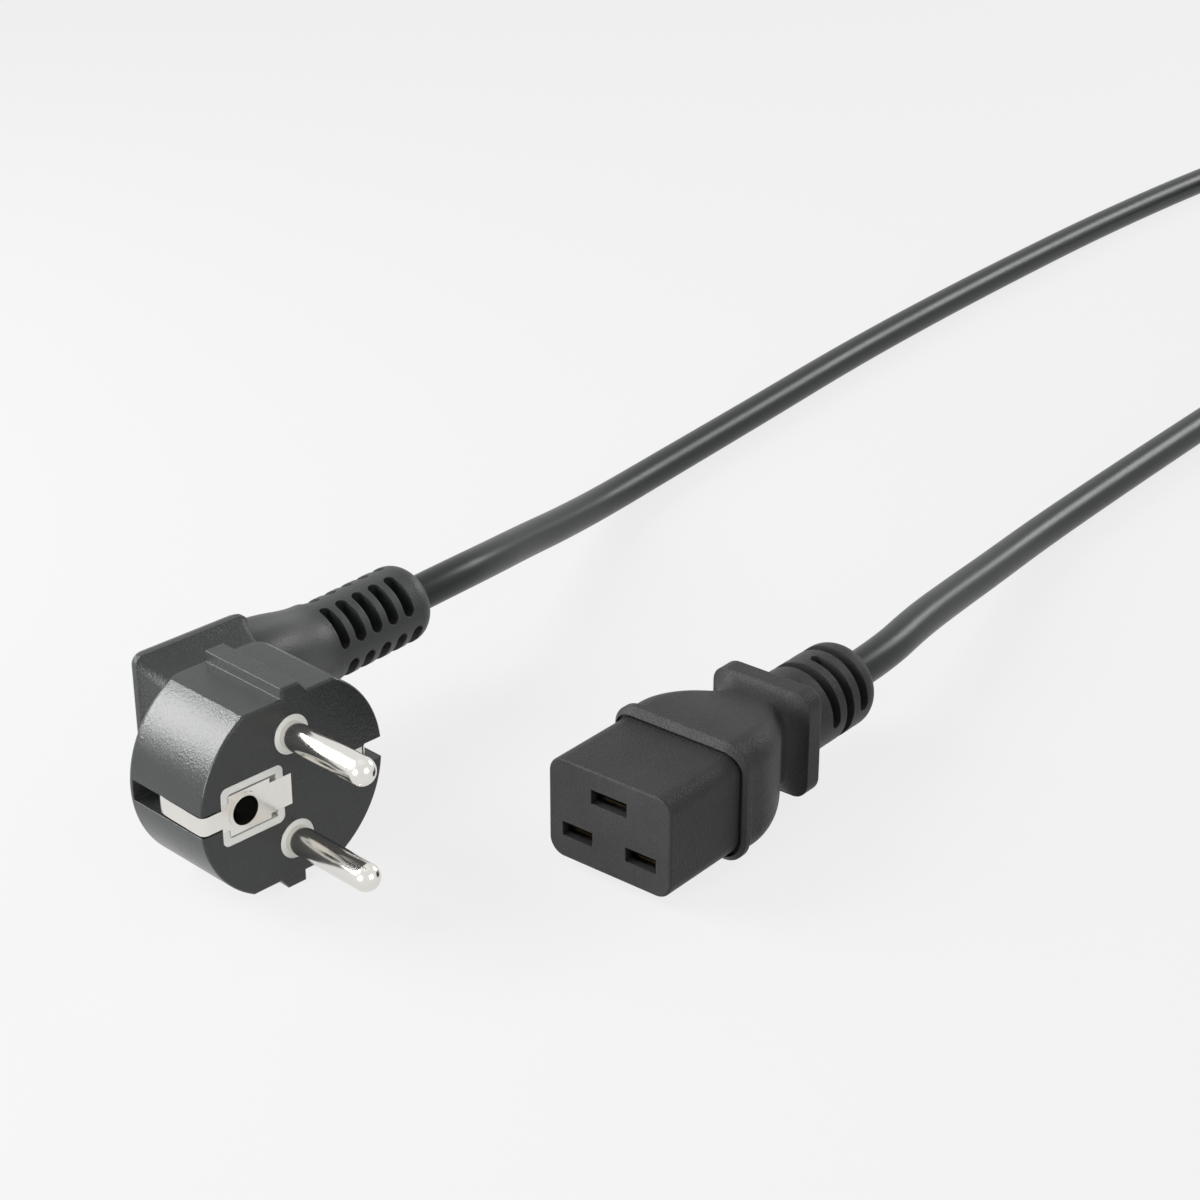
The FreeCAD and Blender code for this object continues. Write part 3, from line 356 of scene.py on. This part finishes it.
def plated(name, colour, roughness):
    """Bright plated metal with faint drawn streaks along the pins."""
    material, tree, shader = new_material(name)
    shader.inputs["Metallic"].default_value = 1.0
    place = tree.nodes.new("ShaderNodeTexCoord")
    stretch = tree.nodes.new("ShaderNodeMapping")
    stretch.inputs["Scale"].default_value = STREAK_SCALE
    streak = tree.nodes.new("ShaderNodeTexNoise")
    streak.inputs["Detail"].default_value = 2.0
    streak.inputs["Scale"].default_value = 1.0
    tree.links.new(place.outputs["Object"], stretch.inputs["Vector"])
    tree.links.new(stretch.outputs["Vector"], streak.inputs["Vector"])
    rough = tree.nodes.new("ShaderNodeMapRange")
    rough.inputs["To Min"].default_value = roughness * STREAK_SMOOTH
    rough.inputs["To Max"].default_value = roughness * STREAK_ROUGH
    tree.links.new(streak.outputs["Fac"], rough.inputs["Value"])
    tree.links.new(rough.outputs["Result"], shader.inputs["Roughness"])
    tint = tree.nodes.new("ShaderNodeMix")
    tint.data_type = "RGBA"
    tint.inputs["A"].default_value = (*[value * STREAK_TINT for value in colour], 1.0)
    tint.inputs["B"].default_value = (*colour, 1.0)
    tree.links.new(streak.outputs["Fac"], tint.inputs["Factor"])
    tree.links.new(tint.outputs["Result"], shader.inputs["Base Color"])
    relief = tree.nodes.new("ShaderNodeBump")
    relief.inputs["Strength"].default_value = 0.06
    relief.inputs["Distance"].default_value = 0.00002
    tree.links.new(streak.outputs["Fac"], relief.inputs["Height"])
    tree.links.new(relief.outputs["Normal"], shader.inputs["Normal"])
    return material


def banded(name, first, second):
    """Smooth core insulation, with a second colour in bands along its length where it has one."""
    material, tree, shader = new_material(name)
    place = tree.nodes.new("ShaderNodeTexCoord")
    bands = tree.nodes.new("ShaderNodeTexWave")
    bands.inputs["Scale"].default_value = BAND_SCALE
    bands.inputs["Distortion"].default_value = 0.4
    tree.links.new(place.outputs["Object"], bands.inputs["Vector"])
    mix = tree.nodes.new("ShaderNodeMix")
    mix.data_type = "RGBA"
    mix.inputs["A"].default_value = (*first, 1.0)
    mix.inputs["B"].default_value = (*second, 1.0)
    tree.links.new(bands.outputs["Fac"], mix.inputs["Factor"])
    tree.links.new(mix.outputs["Result"], shader.inputs["Base Color"])
    shader.inputs["Roughness"].default_value = 0.4
    return material


def dress(names, material):
    """Gives the named CAD nodes one material."""
    for name in names:
        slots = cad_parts[name].data.materials
        slots.clear()
        slots.append(material)


# Operators
class POWERCORD_OT_free_cord(bpy.types.Operator):
    """Lay the free cord from the plug to the coil and on to the connector"""
    bl_idname = "powercord.free_cord"
    bl_label = "Free cord"

    def execute(self, context):
        sizes = context.scene.cord_sizes
        finish = context.scene.cord_finishes
        points = [PLUG_EXIT, PLUG_LEAD] + list(PLUG_ROUTE)
        points += coil_points(sizes.diameter, sizes.rise)
        points += list(CONNECTOR_ROUTE) + [CONNECTOR_LEAD, CONNECTOR_EXIT]
        bpy.ops.object.select_all(action="DESELECT")
        bpy.ops.curve.primitive_nurbs_path_add()
        cord = context.object
        cord.name = "free_cord"
        curve = cord.data
        curve.splines.clear()
        spline = curve.splines.new("NURBS")
        spline.points.add(len(points) - 1)
        for point, place in zip(spline.points, points):
            point.co = (*place, 1.0)
        spline.order_u = 3
        spline.use_endpoint_u = True
        spline.resolution_u = 8
        curve.dimensions = "3D"
        curve.bevel_depth = sizes.diameter / 2
        curve.bevel_resolution = 10
        curve.use_fill_caps = True
        curve.materials.append(grained(
            "Sheath", finish.sheath, roughness=0.33, cell=SHEATH_CELL, drift=0.1, bump=0.02, depth=0.00004,
            shine=0.2, rounding=0.0))
        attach(cord, "root")
        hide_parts("cord_plug_run", "cord_coil", "cord_connector_run")
        return {"FINISHED"}


def coil_points(diameter, rise):
    """Turns of the coil: a flat layer that winds inwards and a second that winds back out on it."""
    # A quadratic spline runs inside its control points, so they stand out by this much
    swell = 1 / (0.75 + 0.25 * math.cos(2 * math.pi / COIL_POINTS))
    climb_start = (COIL_TURNS - COIL_CLIMB_TURNS) / 2
    floor = diameter / 2
    points = []
    last = int(COIL_TURNS * COIL_POINTS)
    for index in range(last + 1):
        turned = index / COIL_POINTS
        angle = math.pi / 2 - 2 * math.pi * turned
        depth = min(turned, COIL_TURNS - turned)
        radius = COIL_OUTER_TURN - COIL_TURN_PITCH * depth
        if 0 < index < last:
            radius *= swell
        climb = min(max((turned - climb_start) / COIL_CLIMB_TURNS, 0.0), 1.0)
        height = floor + rise * climb * climb * (3 - 2 * climb)
        points.append((
            COIL_CENTRE[0] + radius * math.cos(angle), COIL_CENTRE[1] + radius * math.sin(angle), height))
    return points


class POWERCORD_OT_overmoulds(bpy.types.Operator):
    """Give the plug's and the connector's overmoulds their grained plastic"""
    bl_idname = "powercord.overmoulds"
    bl_label = "Overmoulds"

    def execute(self, context):
        finish = context.scene.cord_finishes
        plastic = grained(
            "Plug plastic", finish.plug, roughness=0.25, cell=finish.grain, drift=0.5, bump=0.4, depth=0.00012,
            shine=0.46)
        matt_grip(plastic)
        dress(PLUG_DARK, plastic)
        dress(CONNECTOR_DARK, grained(
            "Connector plastic", finish.connector, roughness=0.42, cell=finish.grain, drift=1.3, bump=0.8,
            depth=0.00012, shine=0.12))
        dress(JACKETS, grained(
            "Gripped sheath", finish.sheath, roughness=0.3, cell=SHEATH_CELL, drift=0.1, bump=0.12,
            depth=0.00006, shine=0.3))
        return {"FINISHED"}


class POWERCORD_OT_contacts(bpy.types.Operator):
    """Give the pins, springs and carrier their finishes, and the inner contacts a brass darkened by painted
    shade
    """
    bl_idname = "powercord.contacts"
    bl_label = "Contacts"

    def execute(self, context):
        finish = context.scene.cord_finishes
        dress(BRIDGE, grained(
            "Carrier plastic", finish.bridge, roughness=0.42, cell=CARRIER_CELL, drift=0.12, bump=0.15,
            depth=0.00005))
        dress(BRIGHT_METAL, plated("Nickel plate", finish.nickel, 0.15))
        # The inner contacts' brass is darkened to near black: painted shade of the slots around them
        dress(BRASS, plated("Contact brass in painted shade", CONTACT_SHADE_COLOUR, 0.5))
        return {"FINISHED"}


class POWERCORD_OT_earth_spring(bpy.types.Operator):
    """Run the left earth spring along its channel near the drum's surface before it dives"""
    bl_idname = "powercord.earth_spring"
    bl_label = "Earth spring"

    def execute(self, context):
        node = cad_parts["earth_strap"]
        bpy.ops.object.select_all(action="DESELECT")
        spring = bpy.data.objects.new("earth_spring_sheet", node.data.copy())
        context.collection.objects.link(spring)
        spring.select_set(True)
        context.view_layer.objects.active = spring
        bpy.ops.mesh.customdata_custom_splitnormals_clear()
        bpy.ops.object.mode_set(mode="EDIT")
        bpy.ops.mesh.select_all(action="SELECT")
        bpy.ops.mesh.remove_doubles(threshold=SAME_POINT)
        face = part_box("earth_strap")[1][1] - SPRING_REAR
        for back, _ in SPRING_SINK:
            bpy.ops.mesh.select_all(action="SELECT")
            bpy.ops.mesh.bisect(plane_co=(0.0, face + back, 0.0), plane_no=(0.0, 1.0, 0.0))
        bpy.ops.object.mode_set(mode="OBJECT")
        for back, sink in SPRING_SINK:
            shift = sink - SPRING_SLOPE * (back - SPRING_CREST)
            for vertex in spring.data.vertices:
                if abs(vertex.co.y - face - back) < ON_PLANE:
                    vertex.co.x += shift
        bpy.ops.object.shade_smooth_by_angle(angle=0.5)
        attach(spring, "root")
        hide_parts("earth_strap")
        return {"FINISHED"}


class POWERCORD_OT_cores(bpy.types.Operator):
    """Give the cores inside both ends their colours and their copper"""
    bl_idname = "powercord.cores"
    bl_label = "Cores"

    def execute(self, context):
        copper = plated("Copper strands", COPPER_COLOUR, 0.35)
        for wire, (first, second) in CORE_COLOURS.items():
            skin = banded("Core " + wire, first, second)
            dress(["plug_core_" + wire, "connector_core_" + wire], skin)
            dress(["plug_strand_" + wire, "connector_strand_" + wire], copper)
        return {"FINISHED"}


class POWERCORD_OT_stage(bpy.types.Operator):
    """Set the pale floor, the soft lamps and the photograph's camera"""
    bl_idname = "powercord.stage"
    bl_label = "Stage"

    def execute(self, context):
        bpy.ops.object.select_all(action="DESELECT")
        bpy.ops.mesh.primitive_plane_add(size=FLOOR_SIZE, location=(0.0, 0.0, 0.0))
        floor = context.object
        floor.name = "stage_floor"
        floor.data.materials.append(floor_material())
        world_light(context.scene)
        for name, place, target, size, power in LAMPS:
            add_lamp(name, place, target, size, power)
        forward = Vector((*CAMERA_HEADING, 0.0)).normalized() * math.cos(math.radians(CAMERA_PITCH))
        forward.z = -math.sin(math.radians(CAMERA_PITCH))
        bpy.ops.object.camera_add(location=CAMERA_PLACE, rotation=forward.to_track_quat("-Z", "Y").to_euler())
        camera = context.object
        camera.data.lens = CAMERA_LENS
        camera.data.sensor_width = CAMERA_SENSOR
        camera.data.clip_start = 0.01
        camera.data.clip_end = 20.0
        context.scene.camera = camera
        context.scene.view_settings.view_transform = "Standard"
        return {"FINISHED"}


def seen_rays(tree):
    """Socket that is 1 for rays of the eye, of reflections and of what is seen through a clear piece."""
    rays = tree.nodes.new("ShaderNodeLightPath")
    seen = rays.outputs["Is Camera Ray"]
    for name in ("Is Glossy Ray", "Is Transmission Ray"):
        either = tree.nodes.new("ShaderNodeMath")
        either.operation = "MAXIMUM"
        tree.links.new(seen, either.inputs[0])
        tree.links.new(rays.outputs[name], either.inputs[1])
        seen = either.outputs["Value"]
    return seen


def floor_material():
    """Pale floor that keeps its own grey for the eye and for reflections, and takes a soft shadow."""
    material, tree, shader = new_material("Pale floor")
    shader.inputs["Base Color"].default_value = (FLOOR_GREY, FLOOR_GREY, FLOOR_GREY, 1.0)
    shader.inputs["Roughness"].default_value = 0.9
    shader.inputs["Specular IOR Level"].default_value = 0.0
    glow = tree.nodes.new("ShaderNodeEmission")
    glow.inputs["Color"].default_value = (PAGE_GREY, PAGE_GREY, PAGE_GREY, 1.0)
    share = tree.nodes.new("ShaderNodeMath")
    share.operation = "MULTIPLY"
    share.inputs[1].default_value = PAGE_SHARE
    tree.links.new(seen_rays(tree), share.inputs[0])
    mix = tree.nodes.new("ShaderNodeMixShader")
    tree.links.new(share.outputs[0], mix.inputs["Fac"])
    tree.links.new(shader.outputs["BSDF"], mix.inputs[1])
    tree.links.new(glow.outputs["Emission"], mix.inputs[2])
    tree.links.new(mix.outputs["Shader"], tree.nodes["Material Output"].inputs["Surface"])
    return material


def world_light(scene):
    """Even pale surroundings: page grey to the eye and in reflections, dimmer as a light."""
    world = bpy.data.worlds.new("Studio")
    world.use_nodes = True
    tree = world.node_tree
    backdrop = tree.nodes["Background"]
    backdrop.inputs["Color"].default_value = (PAGE_GREY, PAGE_GREY, PAGE_GREY, 1.0)
    strength = tree.nodes.new("ShaderNodeMapRange")
    strength.inputs["To Min"].default_value = WORLD_LIGHT
    strength.inputs["To Max"].default_value = 1.0
    tree.links.new(seen_rays(tree), strength.inputs["Value"])
    tree.links.new(strength.outputs["Result"], backdrop.inputs["Strength"])
    scene.world = world


def add_lamp(name, place, target, size, power):
    """Square softbox that points from its place to a target."""
    turn = (Vector(target) - Vector(place)).to_track_quat("-Z", "Y").to_euler()
    bpy.ops.object.light_add(type="AREA", location=place, rotation=turn)
    lamp = bpy.context.object
    lamp.name = name
    lamp.data.shape = "SQUARE"
    lamp.data.size = size
    lamp.data.energy = power


class POWERCORD_PT_panel(bpy.types.Panel):
    """Steps that dress the power cord"""
    bl_idname = "POWERCORD_PT_panel"
    bl_label = "Power cord"
    bl_space_type = "VIEW_3D"
    bl_region_type = "UI"
    bl_category = "Power cord"

    def draw(self, context):
        for step in STEPS:
            self.layout.operator(step.bl_idname)
        for group in (context.scene.cord_sizes, context.scene.cord_finishes):
            for name in group.__annotations__:
                self.layout.prop(group, name)


STEPS = (
    POWERCORD_OT_free_cord,
    POWERCORD_OT_overmoulds,
    POWERCORD_OT_contacts,
    POWERCORD_OT_earth_spring,
    POWERCORD_OT_cores,
    POWERCORD_OT_stage,
)
CLASSES = (CordSizes, Finishes) + STEPS + (POWERCORD_PT_panel,)


def register():
    for cls in CLASSES:
        bpy.utils.register_class(cls)
    bpy.types.Scene.cord_sizes = bpy.props.PointerProperty(type=CordSizes)
    bpy.types.Scene.cord_finishes = bpy.props.PointerProperty(type=Finishes)


def unregister():
    del bpy.types.Scene.cord_finishes
    del bpy.types.Scene.cord_sizes
    for cls in reversed(CLASSES):
        bpy.utils.unregister_class(cls)


def main():
    register()
    bpy.ops.powercord.free_cord()
    bpy.ops.powercord.overmoulds()
    bpy.ops.powercord.contacts()
    bpy.ops.powercord.earth_spring()
    bpy.ops.powercord.cores()
    bpy.ops.powercord.stage()


if __name__ == "__main__":
    main()
